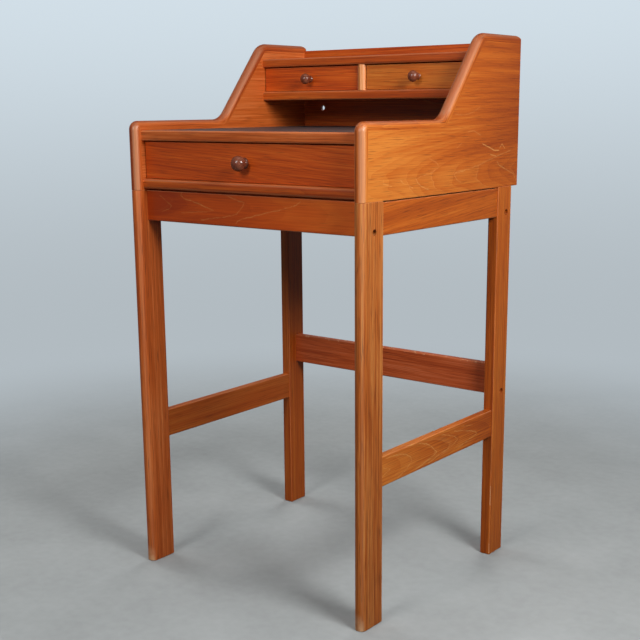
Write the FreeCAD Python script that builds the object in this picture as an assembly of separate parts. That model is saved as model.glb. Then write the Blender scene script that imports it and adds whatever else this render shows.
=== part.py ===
import FreeCAD
import Part
import math
import os

# Standing desk in teak: a writing case with three drawers on a tall frame of flat legs and rails.
# Millimetres. X runs to the right, Y from front to back, Z up from the floor.
# Depths are measured from the front edge of the side panels. At the end every piece is moved, so that
# the origin is on the floor under the middle of the desk, from the main knob to the back.

# Overall size
WIDTH = 600.0
DEPTH = 562.0
HEIGHT = 1128.0

# Side panels: a low arm at the front, a slope, and a high part at the rear
SIDE_T = 24.0
CASE_FOOT = 820.0
ARM_TOP = 961.0
SLOPE_FOOT = 266.0
SLOPE_HEAD = 403.0
ARM_CORNER_R = 18.0
SLOPE_FOOT_R = 50.0
SLOPE_HEAD_R = 45.0
REAR_CORNER_R = 12.0
REAR_EDGE_R = 2.5
NOSE_R = 11.5
SIDE_LIPPING = 16.0    # solid wood round the front, the slope and the top of the veneered core

# Boards of the case, each with a rounded front edge
HOUSING = 6.0
HOUSING_STOP = 12.0
HOUSING_SHOULDER = 3.0
CASE_FRONT = 17.0
BOTTOM_Z = 823.0
BOTTOM_T = 21.0
BOTTOM_EDGE_R = 8.0
WRITING_Z = 921.0
WRITING_TOP = 942.0
INLAY_T = 2.0
LIPPING_W = 16.0
LIPPING_EDGE_R = 4.5
TONGUE = 6.0
UPPER_FRONT = 401.0
SHELF_Z = 1001.5
SHELF_T = 19.5
SHELF_EDGE_R = 5.0
TOP_Z = 1075.0
TOP_T = 18.0
TOP_EDGE_R = 4.5
DIVIDER_T = 20.0
DIVIDER_FRONT = 402.0
DIVIDER_TONGUE = 5.0

# Back panel, let into rabbets in the side panels, with one hole for a lamp cable
BACK_T = 8.0
BACK_TOP = 1116.5
BACK_RABBET = 8.0
CABLE_HOLE_X = -222.0
CABLE_HOLE_Z = 984.0
CABLE_HOLE_D = 12.0

# Legs
FRONT_LEG_W = 65.0
REAR_LEG_Y = 482.0
REAR_LEG_W = 56.0
LEG_EDGE_R = 3.0
FOOT_BEVEL = 1.5
JOINT_EASE = 0.8    # bevel on both sides of the joint between a leg and its side panel

# Rails
RAIL_T = 18.0
RAIL_EDGE_R = 3.0
APRON_Z = 757.0
APRON_TOP = 818.0
FRONT_APRON_TOP = 820.0
SIDE_STRETCHER_Z = 276.0
SIDE_STRETCHER_TOP = 337.0
REAR_STRETCHER_Z = 365.0
REAR_STRETCHER_TOP = 434.0
FRONT_APRON_Y = 27.0
REAR_RAIL_Y = 508.0
TENON_T = 8.0
TENON_LENGTH = 18.0
TENON_SHOULDER = 8.0
APRON_HAUNCH = 20.0

# Bolts with barrel nuts, and the dowel beside each bolt
BOLT_LIFT = 9.0
BOLT_D = 6.0
BOLT_LENGTH = 52.0
BOLT_HOLE_D = 6.6
BOLT_HOLE_SPARE = 3.0
BOLT_HEAD_D = 10.0
BOLT_HEAD_H = 6.0
BOLT_SOCKET = 5.0
BOLT_SOCKET_DEPTH = 3.5
COUNTERBORE_D = 12.0
COUNTERBORE_DEPTH = 14.0
BARREL_D = 10.0
BARREL_LENGTH = 14.0
BARREL_FROM_END = 28.0
BARREL_SLOT_W = 1.6
BARREL_SLOT_DEPTH = 1.5
DOWEL_D = 8.0
DOWEL_IN_LEG = 16.0
DOWEL_IN_RAIL = 24.0
DOWEL_DROP = 24.0
LEG_DOWEL_HALF = 20.0
LEG_DOWEL_INSET = 21.0

# Screws of the back panel
PANEL_SCREW_D = 3.5
PANEL_SCREW_HEAD_D = 7.0
PANEL_SCREW_HEAD_H = 2.4
PANEL_SCREW_LENGTH = 28.0
PANEL_SCREW_SLOT_W = 1.0
PANEL_SCREW_SLOT_DEPTH = 1.0
PANEL_SCREW_X = (-210.0, -70.0, 70.0, 210.0)

# Drawers: gaps round the fronts, board thicknesses, dovetails
GAP_SIDE = 1.5
GAP_TOP = 2.0
GAP_BELOW = 0.5
GAP_BEHIND = 1.0
MAIN_FACE = 25.5
SMALL_FACE = 409.0
MAIN_FRONT_T = 18.0
SMALL_FRONT_T = 15.0
MAIN_SIDE_T = 12.0
SMALL_SIDE_T = 9.0
DRAWER_BOTTOM_T = 5.0
DRAWER_BOTTOM_LIFT = 7.0
DRAWER_GROOVE = 5.0
FRONT_EDGE_R = 1.5
FRONT_LAP = 5.0
TAIL_SHARE = 0.62
TAIL_SLOPE = 1.0 / 6.0
MAIN_TAILS = 3
SMALL_TAILS = 2

# Knobs: diameter, half thickness and rim radius of the head, reach from the face, foot and waist diameter
MAIN_KNOB = dict(head_d=30.0, head_half=13.2, rim_r=11.4, reach=31.5, foot_d=21.5, waist_d=13.0)
SMALL_KNOB = dict(head_d=23.0, head_half=10.2, rim_r=9.1, reach=28.0, foot_d=14.5, waist_d=9.8)
KNOB_NECK_ANGLE = 72.0
KNOB_SCREW_D = 4.0
KNOB_SCREW_HEAD_D = 8.0
KNOB_SCREW_HEAD_H = 2.6
KNOB_SCREW_BITE = 13.0
KNOB_SCREW_SLOT_W = 1.2
KNOB_SCREW_SLOT_DEPTH = 1.2

# Worked out from the sizes above
HALF = WIDTH / 2
INSIDE = HALF - SIDE_T
LEG_MIDDLE_X = HALF - SIDE_T / 2
BACK_FACE = DEPTH - BACK_T
MIDDLE_Y = (DEPTH + MAIN_FACE - MAIN_KNOB["reach"]) / 2
MAIN_OPENING = (BOTTOM_Z + BOTTOM_T, WRITING_Z)
SMALL_OPENING = (SHELF_Z + SHELF_T, TOP_Z)
CROSS_RAILS = {
    "front_apron": (FRONT_APRON_Y, APRON_Z, FRONT_APRON_TOP),
    "rear_apron": (REAR_RAIL_Y, APRON_Z, APRON_TOP),
    "rear_stretcher": (REAR_RAIL_Y, REAR_STRETCHER_Z, REAR_STRETCHER_TOP),
}

Vector = FreeCAD.Vector
X_AXIS = Vector(1, 0, 0)
Y_AXIS = Vector(0, 1, 0)
Z_AXIS = Vector(0, 0, 1)
NEAR = 0.01    # how close counts as touching, when an edge is picked by its place


def block(x0, x1, y0, y1, z0, z1):
    """A plain rectangular solid between two corners."""
    return Part.makeBox(x1 - x0, y1 - y0, z1 - z0, Vector(x0, y0, z0))


def rod(diameter, start, direction, length):
    """A round solid from a start point along a direction."""
    return Part.makeCylinder(diameter / 2, length, start, direction)


def outline_face(corners, place):
    """A flat face from corners (a, b, radius); place turns a and b into a point in space.

    Each corner with a radius becomes an arc that is tangent to both of its sides.
    """
    count = len(corners)
    starts = []
    arcs = []
    ends = []
    for i, (a, b, radius) in enumerate(corners):
        corner = Vector(a, b, 0)
        before = Vector(corners[i - 1][0], corners[i - 1][1], 0) - corner
        after = Vector(corners[(i + 1) % count][0], corners[(i + 1) % count][1], 0) - corner
        before.normalize()
        after.normalize()
        half_angle = before.getAngle(after) / 2
        tangent = radius / math.tan(half_angle)
        bisector = before + after
        if radius > 0:
            bisector.normalize()
        middle = corner + bisector * (radius / math.sin(half_angle) - radius)
        starts.append(corner + before * tangent)
        arcs.append(middle)
        ends.append(corner + after * tangent)
    edges = []
    for i in range(count):
        start, middle, end = (place(p.x, p.y) for p in (starts[i], arcs[i], ends[i]))
        following = place(starts[(i + 1) % count].x, starts[(i + 1) % count].y)
        if corners[i][2] > 0:
            edges.append(Part.Arc(start, middle, end).toShape())
        if (following - end).Length > NEAR:
            edges.append(Part.LineSegment(end, following).toShape())
    return Part.Face(Part.Wire(edges))


def along_x(corners, x0, x1):
    """A profile of (y, z, radius) corners carried from x0 to x1."""
    face = outline_face(corners, lambda y, z: Vector(x0, y, z))
    return face.extrude(X_AXIS * (x1 - x0))


def along_y(corners, y0, y1):
    """A profile of (x, z, radius) corners carried from y0 to y1."""
    face = outline_face(corners, lambda x, z: Vector(x, y0, z))
    return face.extrude(Y_AXIS * (y1 - y0))


def along_z(corners, z0, z1):
    """A profile of (x, y, radius) corners carried from z0 to z1."""
    face = outline_face(corners, lambda x, y: Vector(x, y, z0))
    return face.extrude(Z_AXIS * (z1 - z0))


def rectangle(a0, a1, b0, b1, radius):
    """Corners of a rectangle with one radius all round."""
    return [(a0, b0, radius), (a1, b0, radius), (a1, b1, radius), (a0, b1, radius)]


def mirrored(shape):
    """The same piece on the other side of the desk."""
    return shape.mirror(Vector(0, 0, 0), X_AXIS)


def joined(first, others):
    """One solid from pieces that touch, without the seams between them."""
    return first.fuse(others).removeSplitter()


def edges_at(shape, z):
    """The edges of a shape that lie at one height."""
    return [edge for edge in shape.Edges if abs(edge.BoundBox.ZMin - z) + abs(edge.BoundBox.ZMax - z) < NEAR]


def case_board(y0, z0, thickness, edge_r):
    """A board between the side panels with a rounded front and tongues that enter their housings."""
    z1 = z0 + thickness
    section = [(y0, z0, edge_r), (BACK_FACE, z0, 0), (BACK_FACE, z1, 0), (y0, z1, edge_r)]
    board = along_x(section, -INSIDE, INSIDE)
    reach = INSIDE + HOUSING
    tongue = block(
        -reach, reach,
        y0 + HOUSING_STOP, BACK_FACE,
        z0 + HOUSING_SHOULDER, z1 - HOUSING_SHOULDER,
    )
    return joined(board, [tongue])


def side_panel():
    """Right side panel with its lipping, before the housings: round-nosed front, top and slope."""
    outline = [
        (0, CASE_FOOT, 0),
        (DEPTH, CASE_FOOT, 0),
        (DEPTH, HEIGHT, 0),
        (SLOPE_HEAD, HEIGHT, SLOPE_HEAD_R),
        (SLOPE_FOOT, ARM_TOP, SLOPE_FOOT_R),
        (0, ARM_TOP, ARM_CORNER_R),
    ]
    panel = along_x(outline, INSIDE, HALF)
    nosed = []
    for edge in panel.Edges:
        middle = edge.CenterOfMass
        on_a_face = abs(abs(middle.x - LEG_MIDDLE_X) - SIDE_T / 2) < NEAR
        at_foot = middle.z < CASE_FOOT + NEAR
        at_rear = middle.y > DEPTH - NEAR
        if on_a_face and not at_foot and not at_rear:
            nosed.append(edge)
    panel = panel.makeFillet(NOSE_R, nosed)
    rear_corner = [(0, CASE_FOOT, 0), (DEPTH, CASE_FOOT, 0), (DEPTH, HEIGHT, REAR_CORNER_R), (0, HEIGHT, 0)]
    rear_edges = [(INSIDE, 0, 0), (HALF, 0, 0), (HALF, DEPTH, REAR_EDGE_R), (INSIDE, DEPTH, REAR_EDGE_R)]
    panel = panel.common(along_x(rear_corner, INSIDE, HALF))
    panel = panel.common(along_z(rear_edges, CASE_FOOT, HEIGHT))
    return panel.makeChamfer(JOINT_EASE, edges_at(panel, CASE_FOOT))


def side_core():
    """The room of the right panel's veneered core: the panel's outline, drawn in by the lipping."""
    slope = math.atan2(HEIGHT - ARM_TOP, SLOPE_HEAD - SLOPE_FOOT)
    along_slope = SIDE_LIPPING * math.tan(slope / 2)
    top = HEIGHT - SIDE_LIPPING
    arm = ARM_TOP - SIDE_LIPPING
    outline = [
        (SIDE_LIPPING, CASE_FOOT, 0),
        (DEPTH, CASE_FOOT, 0),
        (DEPTH, top, 0),
        (SLOPE_HEAD + along_slope, top, SLOPE_HEAD_R - SIDE_LIPPING),
        (SLOPE_FOOT + along_slope, arm, SLOPE_FOOT_R + SIDE_LIPPING),
        (SIDE_LIPPING, arm, ARM_CORNER_R - SIDE_LIPPING),
    ]
    return along_x(outline, INSIDE, HALF)


def leg(y0, width, front_r):
    """A right-hand leg of flat section; the foot and the joint at the top have small bevels all round."""
    y1 = y0 + width
    section = [(INSIDE, y0, front_r), (HALF, y0, front_r), (HALF, y1, LEG_EDGE_R), (INSIDE, y1, LEG_EDGE_R)]
    stock = along_z(section, 0, CASE_FOOT)
    stock = stock.makeChamfer(FOOT_BEVEL, edges_at(stock, 0))
    return stock.makeChamfer(JOINT_EASE, edges_at(stock, CASE_FOOT))


def side_rail(z0, z1, top_shoulder):
    """A right-hand rail from front leg to rear leg with a stub tenon on each end."""
    y0 = FRONT_LEG_W
    y1 = REAR_LEG_Y
    section = rectangle(LEG_MIDDLE_X - RAIL_T / 2, LEG_MIDDLE_X + RAIL_T / 2, z0, z1, RAIL_EDGE_R)
    rail = along_y(section, y0, y1)
    tenons = block(
        LEG_MIDDLE_X - TENON_T / 2, LEG_MIDDLE_X + TENON_T / 2,
        y0 - TENON_LENGTH, y1 + TENON_LENGTH,
        z0 + TENON_SHOULDER, z1 - top_shoulder,
    )
    return joined(rail, [tenons])


def cross_rail(y0, z0, z1):
    """A rail from left leg to right leg with plain ends."""
    return along_x(rectangle(y0, y0 + RAIL_T, z0, z1, RAIL_EDGE_R), -INSIDE, INSIDE)


def hexagon_socket(across_flats, start, direction, depth):
    """The recess for a hexagon key, lying in a plane square to X."""
    radius = across_flats / math.sqrt(3)
    points = []
    for i in range(7):
        angle = math.radians(60 * i)
        points.append(start + Vector(0, radius * math.cos(angle), radius * math.sin(angle)))
    return Part.Face(Part.makePolygon(points)).extrude(direction * depth)


def bolt(side, y, z):
    """A socket-head bolt through a leg; side is 1 on the right and -1 on the left."""
    inward = X_AXIS * -side
    seat = Vector(side * (HALF - COUNTERBORE_DEPTH), y, z)
    top = seat - inward * BOLT_HEAD_H
    head = rod(BOLT_HEAD_D, top, inward, BOLT_HEAD_H)
    head = head.cut(hexagon_socket(BOLT_SOCKET, top, inward, BOLT_SOCKET_DEPTH))
    return joined(head, [rod(BOLT_D, seat, inward, BOLT_LENGTH)])


def bolt_hole(side, y, z):
    """The stepped hole for a bolt, open at the outer face of the leg and running on into the rail."""
    inward = X_AXIS * -side
    wide = rod(COUNTERBORE_D, Vector(side * HALF, y, z), inward, COUNTERBORE_DEPTH)
    seat = Vector(side * (HALF - COUNTERBORE_DEPTH), y, z)
    return joined(wide, [rod(BOLT_HOLE_D, seat, inward, BOLT_LENGTH + BOLT_HOLE_SPARE)])


def barrel_nut(side, y0, z):
    """A cross-drilled barrel with a slot, let into the rear face of a rail, and the hole that it fills."""
    rear = y0 + RAIL_T
    start = Vector(side * (INSIDE - BARREL_FROM_END), rear, z)
    barrel = rod(BARREL_D, start, Y_AXIS * -1, BARREL_LENGTH)
    reach = BARREL_D
    slot = block(
        start.x - reach, start.x + reach,
        rear - BARREL_SLOT_DEPTH, rear,
        z - BARREL_SLOT_W / 2, z + BARREL_SLOT_W / 2,
    )
    return barrel.cut(slot), barrel


def countersunk_screw(x, z):
    """A screw of the back panel, driven forwards into the rear edge of a board."""
    forward = Y_AXIS * -1
    top = Vector(x, DEPTH, z)
    head = Part.makeCone(PANEL_SCREW_HEAD_D / 2, PANEL_SCREW_D / 2, PANEL_SCREW_HEAD_H, top, forward)
    screw = joined(head, [rod(PANEL_SCREW_D, top, forward, PANEL_SCREW_LENGTH)])
    reach = PANEL_SCREW_HEAD_D
    slot = block(
        x - reach, x + reach,
        DEPTH - PANEL_SCREW_SLOT_DEPTH, DEPTH,
        z - PANEL_SCREW_SLOT_W / 2, z + PANEL_SCREW_SLOT_W / 2,
    )
    return screw.cut(slot), screw


def tails(x0, x1, y_root, y_tip, z0, z1, count):
    """Dovetails on the end of a drawer side: wedges that widen from the root to the tip."""
    pitch = (z1 - z0) / count
    wide = pitch * TAIL_SHARE / 2
    narrow = wide - abs(y_tip - y_root) * TAIL_SLOPE
    wedges = []
    for i in range(count):
        middle = z0 + (i + 0.5) * pitch
        corners = [
            (y_root, middle - narrow, 0),
            (y_tip, middle - wide, 0),
            (y_tip, middle + wide, 0),
            (y_root, middle + narrow, 0),
        ]
        wedges.append(along_x(corners, x0, x1))
    return wedges


def knob(x, face, z, head_d, head_half, rim_r, reach, foot_d, waist_d):
    """A turned knob: a flared foot, a waist and a flattened ball, spun about its axis.

    The ball's profile is a tight arc round the rim that runs smoothly into a flatter dome in front.
    """
    def point(radius, out):
        return Vector(x + radius, face - out, z)

    rim_x = head_d / 2 - rim_r
    head_out = reach - head_half
    dome_r = (rim_x ** 2 + head_half ** 2 - rim_r ** 2) / (2 * (head_half - rim_r))
    dome_out = reach - dome_r
    meet = math.atan2(rim_x, head_out - dome_out)
    neck_angle = math.radians(KNOB_NECK_ANGLE)
    neck_out = head_out - rim_r * math.sin(neck_angle)
    foot = point(foot_d / 2, 0)
    waist = point(waist_d / 2, neck_out / 2)
    neck = point(rim_x + rim_r * math.cos(neck_angle), neck_out)
    rim = point(head_d / 2, head_out)
    shoulder = point(dome_r * math.sin(meet), dome_out + dome_r * math.cos(meet))
    dome = point(dome_r * math.sin(meet / 2), dome_out + dome_r * math.cos(meet / 2))
    edges = [
        Part.LineSegment(point(0, 0), foot).toShape(),
        Part.Arc(foot, waist, neck).toShape(),
        Part.Arc(neck, rim, shoulder).toShape(),
        Part.Arc(shoulder, dome, point(0, reach)).toShape(),
        Part.LineSegment(point(0, reach), point(0, 0)).toShape(),
    ]
    return Part.Face(Part.Wire(edges)).revolve(point(0, 0), Y_AXIS, 360)


def knob_screw(x, face, front_t, z):
    """A pan-head screw from inside the drawer, through its front and into the knob."""
    forward = Y_AXIS * -1
    seat = Vector(x, face + front_t, z)
    head = rod(KNOB_SCREW_HEAD_D, seat, Y_AXIS, KNOB_SCREW_HEAD_H)
    screw = joined(head, [rod(KNOB_SCREW_D, seat, forward, front_t + KNOB_SCREW_BITE)])
    rim = seat.y + KNOB_SCREW_HEAD_H
    reach = KNOB_SCREW_HEAD_D
    slot = block(
        x - reach, x + reach,
        rim - KNOB_SCREW_SLOT_DEPTH, rim,
        z - KNOB_SCREW_SLOT_W / 2, z + KNOB_SCREW_SLOT_W / 2,
    )
    return screw.cut(slot)


def drawer(name, opening_x, opening_z, face, front_t, side_t, tail_count, knob_size):
    """One drawer as seven pieces: front, sides and back dovetailed together, bottom, knob and its screw."""
    x0 = opening_x[0] + GAP_SIDE
    x1 = opening_x[1] - GAP_SIDE
    z0 = opening_z[0] + GAP_BELOW
    z1 = opening_z[1] - GAP_TOP
    inner_y0 = face + front_t
    rear = BACK_FACE - GAP_BEHIND
    inner_y1 = rear - side_t
    middle_x = (x0 + x1) / 2
    middle_z = (z0 + z1) / 2
    floor_z = z0 + DRAWER_BOTTOM_LIFT
    floor_top = floor_z + DRAWER_BOTTOM_T

    bottom = block(
        x0 + side_t - DRAWER_GROOVE, x1 - side_t + DRAWER_GROOVE,
        inner_y0 - DRAWER_GROOVE, rear,
        floor_z, floor_top,
    )
    front_corners = rectangle(x0, x1, z0, z1, 0)
    front = along_y(front_corners, face, inner_y0)
    face_edges = [edge for edge in front.Edges if edge.CenterOfMass.y < face + NEAR]
    front = front.makeFillet(FRONT_EDGE_R, face_edges)
    back = block(x0, x1, inner_y1, rear, floor_top, z1)
    sides = {}
    for label, a, b in (("left", x0, x0 + side_t), ("right", x1 - side_t, x1)):
        front_tails = tails(a, b, inner_y0, face + FRONT_LAP, z0, z1, tail_count)
        rear_tails = tails(a, b, inner_y1, rear, floor_top, z1, tail_count)
        rear_foot = block(a, b, inner_y1, rear, z0, floor_top)
        side = joined(block(a, b, inner_y0, inner_y1, z0, z1), front_tails + rear_tails + [rear_foot])
        front = front.cut(front_tails)
        back = back.cut(rear_tails)
        sides[label] = side.cut(bottom)
    screw = knob_screw(middle_x, face, front_t, middle_z)
    handle = knob(middle_x, face, middle_z, **knob_size).cut(screw)
    return {
        name + "_front": front.cut([bottom, screw]),
        name + "_left_side": sides["left"],
        name + "_right_side": sides["right"],
        name + "_back": back,
        name + "_bottom": bottom,
        name + "_knob": handle,
        name + "_knob_screw": screw,
    }


def case_boards():
    """The boards between the side panels, with the lipping and inlay of the writing board."""
    boards = {
        "case_bottom_board": case_board(CASE_FRONT, BOTTOM_Z, BOTTOM_T, BOTTOM_EDGE_R),
        "small_drawer_shelf": case_board(UPPER_FRONT, SHELF_Z, SHELF_T, SHELF_EDGE_R),
        "top_board": case_board(UPPER_FRONT, TOP_Z, TOP_T, TOP_EDGE_R),
    }
    core_y = CASE_FRONT + LIPPING_W
    core_top = WRITING_TOP - INLAY_T
    tongue_z = (WRITING_Z + core_top - TONGUE) / 2
    reach = INSIDE + HOUSING
    core = block(-reach, reach, core_y, BACK_FACE, WRITING_Z, core_top)
    tongue = block(-INSIDE, INSIDE, core_y - TONGUE, core_y, tongue_z, tongue_z + TONGUE)
    boards["writing_board"] = joined(core, [tongue])
    section = [
        (CASE_FRONT, WRITING_Z, LIPPING_EDGE_R),
        (core_y, WRITING_Z, 0),
        (core_y, WRITING_TOP, 0),
        (CASE_FRONT, WRITING_TOP, LIPPING_EDGE_R),
    ]
    boards["writing_board_lipping"] = along_x(section, -INSIDE, INSIDE).cut(tongue)
    boards["writing_inlay"] = block(-INSIDE, INSIDE, core_y, BACK_FACE, core_top, WRITING_TOP)

    half = DIVIDER_T / 2
    section = [
        (-half, DIVIDER_FRONT, half),
        (half, DIVIDER_FRONT, half),
        (half, BACK_FACE, 0),
        (-half, BACK_FACE, 0),
    ]
    divider = along_z(section, SMALL_OPENING[0], SMALL_OPENING[1])
    tongues = block(
        -half, half,
        DIVIDER_FRONT + HOUSING_STOP, BACK_FACE,
        SMALL_OPENING[0] - DIVIDER_TONGUE, SMALL_OPENING[1] + DIVIDER_TONGUE,
    )
    boards["drawer_divider"] = joined(divider, [tongues])
    for name in ("small_drawer_shelf", "top_board"):
        boards[name] = boards[name].cut(tongues)
    return boards


def back_panel():
    """The back panel, up to a little below the tops of the side panels, with the cable hole."""
    reach = INSIDE + BACK_RABBET
    panel = block(-reach, reach, BACK_FACE, DEPTH, BOTTOM_Z, BACK_TOP)
    return panel.cut(rod(CABLE_HOLE_D, Vector(CABLE_HOLE_X, BACK_FACE, CABLE_HOLE_Z), Y_AXIS, BACK_T))


def frame():
    """Legs, rails and the hardware that holds the frame together."""
    legs = {
        "front_right_leg": leg(0, FRONT_LEG_W, SIDE_T / 2),
        "rear_right_leg": leg(REAR_LEG_Y, REAR_LEG_W, LEG_EDGE_R),
    }
    side_rails = {
        "right_side_apron": side_rail(APRON_Z, APRON_TOP, APRON_HAUNCH),
        "right_side_stretcher": side_rail(SIDE_STRETCHER_Z, SIDE_STRETCHER_TOP, TENON_SHOULDER),
    }
    for name in legs:
        legs[name] = legs[name].cut(list(side_rails.values()))
    pieces = {**legs, **side_rails}
    for name in list(pieces):
        pieces[name.replace("right", "left")] = mirrored(pieces[name])

    bolts = []
    nuts = []
    dowels = []
    for name, (y0, z0, z1) in CROSS_RAILS.items():
        rail = cross_rail(y0, z0, z1)
        leg_name = "front" if name.startswith("front") else "rear"
        middle_y = y0 + RAIL_T / 2
        bolt_z = z0 + BOLT_LIFT
        for side, label in ((1, "right"), (-1, "left")):
            new_bolt = bolt(side, middle_y, bolt_z)
            hole = bolt_hole(side, middle_y, bolt_z)
            nut, nut_hole = barrel_nut(side, y0, bolt_z)
            start = Vector(side * (INSIDE + DOWEL_IN_LEG), middle_y, z1 - DOWEL_DROP)
            dowel = rod(DOWEL_D, start, X_AXIS * -side, DOWEL_IN_LEG + DOWEL_IN_RAIL)
            bolts.append(new_bolt)
            nuts.append(nut.cut(new_bolt))
            dowels.append(dowel)
            rail = rail.cut([hole, nut_hole, dowel])
            own_leg = f"{leg_name}_{label}_leg"
            pieces[own_leg] = pieces[own_leg].cut([hole, dowel])
        pieces[name] = rail
    pieces["frame_bolts"] = Part.makeCompound(bolts)
    pieces["barrel_nuts"] = Part.makeCompound(nuts)
    pieces["rail_dowels"] = Part.makeCompound(dowels)
    return pieces


def leg_dowels():
    """Two dowels on the top of every leg, half in the leg and half in the side panel."""
    dowels = []
    for y0, width in ((0, FRONT_LEG_W), (REAR_LEG_Y, REAR_LEG_W)):
        for y in (y0 + LEG_DOWEL_INSET, y0 + width - LEG_DOWEL_INSET):
            for side in (-1, 1):
                start = Vector(side * LEG_MIDDLE_X, y, CASE_FOOT - LEG_DOWEL_HALF)
                dowels.append(rod(DOWEL_D, start, Z_AXIS, 2 * LEG_DOWEL_HALF))
    return dowels


def desk():
    """Every piece of the desk by name, with its housings, mortises and holes cut."""
    boards = case_boards()
    back = back_panel()
    screws = []
    screwed = {
        "case_bottom_board": BOTTOM_Z + BOTTOM_T / 2,
        "small_drawer_shelf": SHELF_Z + SHELF_T / 2,
        "top_board": TOP_Z + TOP_T / 2,
    }
    for name, z in screwed.items():
        for x in PANEL_SCREW_X:
            screw, hole = countersunk_screw(x, z)
            screws.append(screw)
            back = back.cut(hole)
            boards[name] = boards[name].cut(hole)

    pegs = leg_dowels()
    whole = side_panel()
    core = side_core()
    panels = {}
    for side, panel, room in (("right", whole, core), ("left", mirrored(whole), mirrored(core))):
        panel = panel.cut(list(boards.values()) + [back] + pegs)
        panels[f"{side}_side_panel"] = panel.common(room)
        panels[f"{side}_side_lipping"] = panel.cut(room)
    pieces = {**panels, **boards, "back_panel": back, **frame()}
    for name in list(pieces):
        if name.endswith("_leg"):
            pieces[name] = pieces[name].cut(pegs)
    pieces["leg_dowels"] = Part.makeCompound(pegs)
    pieces["back_panel_screws"] = Part.makeCompound(screws)

    half = DIVIDER_T / 2
    pieces.update(drawer("main_drawer", (-INSIDE, INSIDE), MAIN_OPENING, MAIN_FACE,
                         MAIN_FRONT_T, MAIN_SIDE_T, MAIN_TAILS, MAIN_KNOB))
    for name, opening_x in (("left_small_drawer", (-INSIDE, -half)), ("right_small_drawer", (half, INSIDE))):
        pieces.update(drawer(name, opening_x, SMALL_OPENING, SMALL_FACE,
                             SMALL_FRONT_T, SMALL_SIDE_T, SMALL_TAILS, SMALL_KNOB))
    return pieces


os.makedirs("parts", exist_ok=True)
for node, shape in desk().items():
    shape.translate(Vector(0, -MIDDLE_Y, 0))
    shape.exportStep(f"parts/{node}.step")
    print(f"{node}: {len(shape.Solids)} solid(s), {shape.Volume / 1000:.1f} cm3, valid {shape.isValid()}")
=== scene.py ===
# %% [markdown]
# # A standing desk in oiled teak
# The desk is a small writing case on a tall frame of flat legs and rails. Its boards, joints and
# drawers come from the CAD frame at their real size and stay as they are. What is added here is
# what the eye meets: the wood of every board, the linoleum, the knobs, the steel, a pale studio,
# its lamps and the camera.

# %% Load the frame
import math

import bpy
import numpy as np
from mathutils import Matrix, Vector


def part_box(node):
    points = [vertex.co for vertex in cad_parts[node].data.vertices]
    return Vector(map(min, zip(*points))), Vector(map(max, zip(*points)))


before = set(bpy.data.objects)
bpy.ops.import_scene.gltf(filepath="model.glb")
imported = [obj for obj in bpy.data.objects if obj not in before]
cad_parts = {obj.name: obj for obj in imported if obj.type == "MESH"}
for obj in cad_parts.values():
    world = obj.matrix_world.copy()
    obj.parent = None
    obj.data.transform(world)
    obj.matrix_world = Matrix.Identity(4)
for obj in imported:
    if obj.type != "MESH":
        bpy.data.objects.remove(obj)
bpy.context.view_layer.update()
print("pieces in the frame:", len(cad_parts))

# %% [markdown]
# ## The camera
# The camera stands to the right of the desk, a little below its top, and looks slightly down. A long
# lens keeps the legs nearly upright, and the shift slides the picture without turning the camera. A
# tracking constraint could aim it, but leaves no room for the slight roll. So its three angles turn
# into three directions, which are the columns of the camera's matrix.

# %% Place the camera
CAMERA_PLACE = Vector((1.4646, -1.8766, 0.9873))
CAMERA_YAW = math.radians(37.93)
CAMERA_DOWN = math.radians(12.77)
CAMERA_ROLL = math.radians(-0.41)
CAMERA_LENS = 62.88
CAMERA_SHIFT = (-0.0116, 0.0621)

forward = Vector((
    -math.sin(CAMERA_YAW) * math.cos(CAMERA_DOWN),
    math.cos(CAMERA_YAW) * math.cos(CAMERA_DOWN),
    -math.sin(CAMERA_DOWN),
))
level_right = Vector((math.cos(CAMERA_YAW), math.sin(CAMERA_YAW), 0))
level_up = level_right.cross(forward)
right = level_right * math.cos(CAMERA_ROLL) + level_up * math.sin(CAMERA_ROLL)
up = level_up * math.cos(CAMERA_ROLL) - level_right * math.sin(CAMERA_ROLL)

camera_data = bpy.data.cameras.new("camera")
camera_data.lens = CAMERA_LENS
camera_data.shift_x, camera_data.shift_y = CAMERA_SHIFT
camera = bpy.data.objects.new("camera", camera_data)
turned = Matrix((right, up, -forward)).transposed().to_4x4()
camera.matrix_world = Matrix.Translation(CAMERA_PLACE) @ turned
bpy.context.scene.collection.objects.link(camera)
bpy.context.scene.camera = camera
print("camera is", round(CAMERA_PLACE.length, 2), "m from the origin")

# %% [markdown]
# ## Colour and nodes
# Colours are written as sRGB hex values, as a colour picker shows them, and one function turns them
# into the linear light that shaders work in. A second one adds a shader node: it sets the node's
# properties, fills its sockets with values or links, and hands back its outputs. Nodes could be wired
# by hand in the editor, but in code one recipe can serve every board.

# %% Helpers for every material
def linear(hex_colour):
    """The standard sRGB curve: a short straight toe, then a power of 2.4. Alpha is one."""
    channels = np.array([int(hex_colour[i:i + 2], 16) for i in (1, 3, 5)]) / 255
    curve = np.where(channels <= 0.04045, channels / 12.92, ((channels + 0.055) / 1.055) ** 2.4)
    return (*curve.tolist(), 1.0)


def add(tree, kind, inputs=None, stops=(), **settings):
    """One node; inputs are values or output sockets, stops are (place, linear colour) on a ramp."""
    node = tree.nodes.new("ShaderNode" + kind)
    for name, value in settings.items():
        setattr(node, name, value)
    for socket, value in (inputs or {}).items():
        if isinstance(value, bpy.types.NodeSocket):
            tree.links.new(value, node.inputs[socket])
        else:
            node.inputs[socket].default_value = value
    for i, (place, colour) in enumerate(stops):
        elements = node.color_ramp.elements
        element = elements[i] if i < 2 else elements.new(place)
        element.position = place
        element.color = colour
    return node.outputs


def new_material(name):
    """An empty material and its node tree."""
    material = bpy.data.materials.new(name)
    material.use_nodes = True
    material.node_tree.nodes.clear()
    return material, material.node_tree


dressed = set()


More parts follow.
